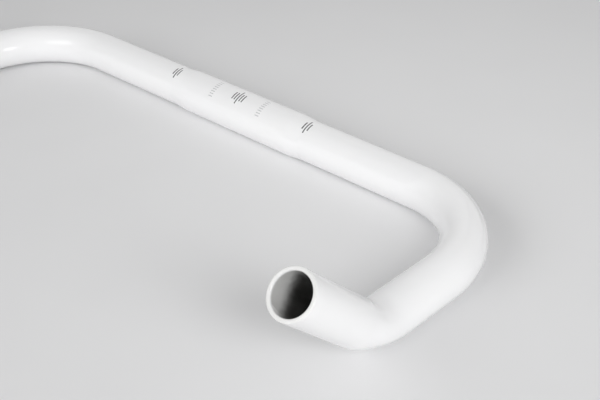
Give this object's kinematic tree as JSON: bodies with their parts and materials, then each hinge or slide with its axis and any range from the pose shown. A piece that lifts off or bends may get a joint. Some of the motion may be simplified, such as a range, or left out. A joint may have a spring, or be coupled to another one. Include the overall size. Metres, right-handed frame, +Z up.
{
  "type": "bullhorn handlebar",
  "caption": "One-piece bent tube handlebar with a swollen clamp area and two forward horns whose open tips rise.",
  "frame": {"origin": "middle of the stem clamp, on the tube's axis", "axes": "+X along the clamp, towards the right horn seen from above with the horns towards the viewer; the horns reach forward along -Y; +Z up with the bar lying on a table"},
  "size_m": [0.396, 0.1789, 0.0652],
  "materials": {
    "white_paint": "glossy white paint on aluminium, bare metal inside the tube"
  },
  "bodies": {
    "root": {"handlebar_tube": "white_paint"}
  },
  "joints": []
}
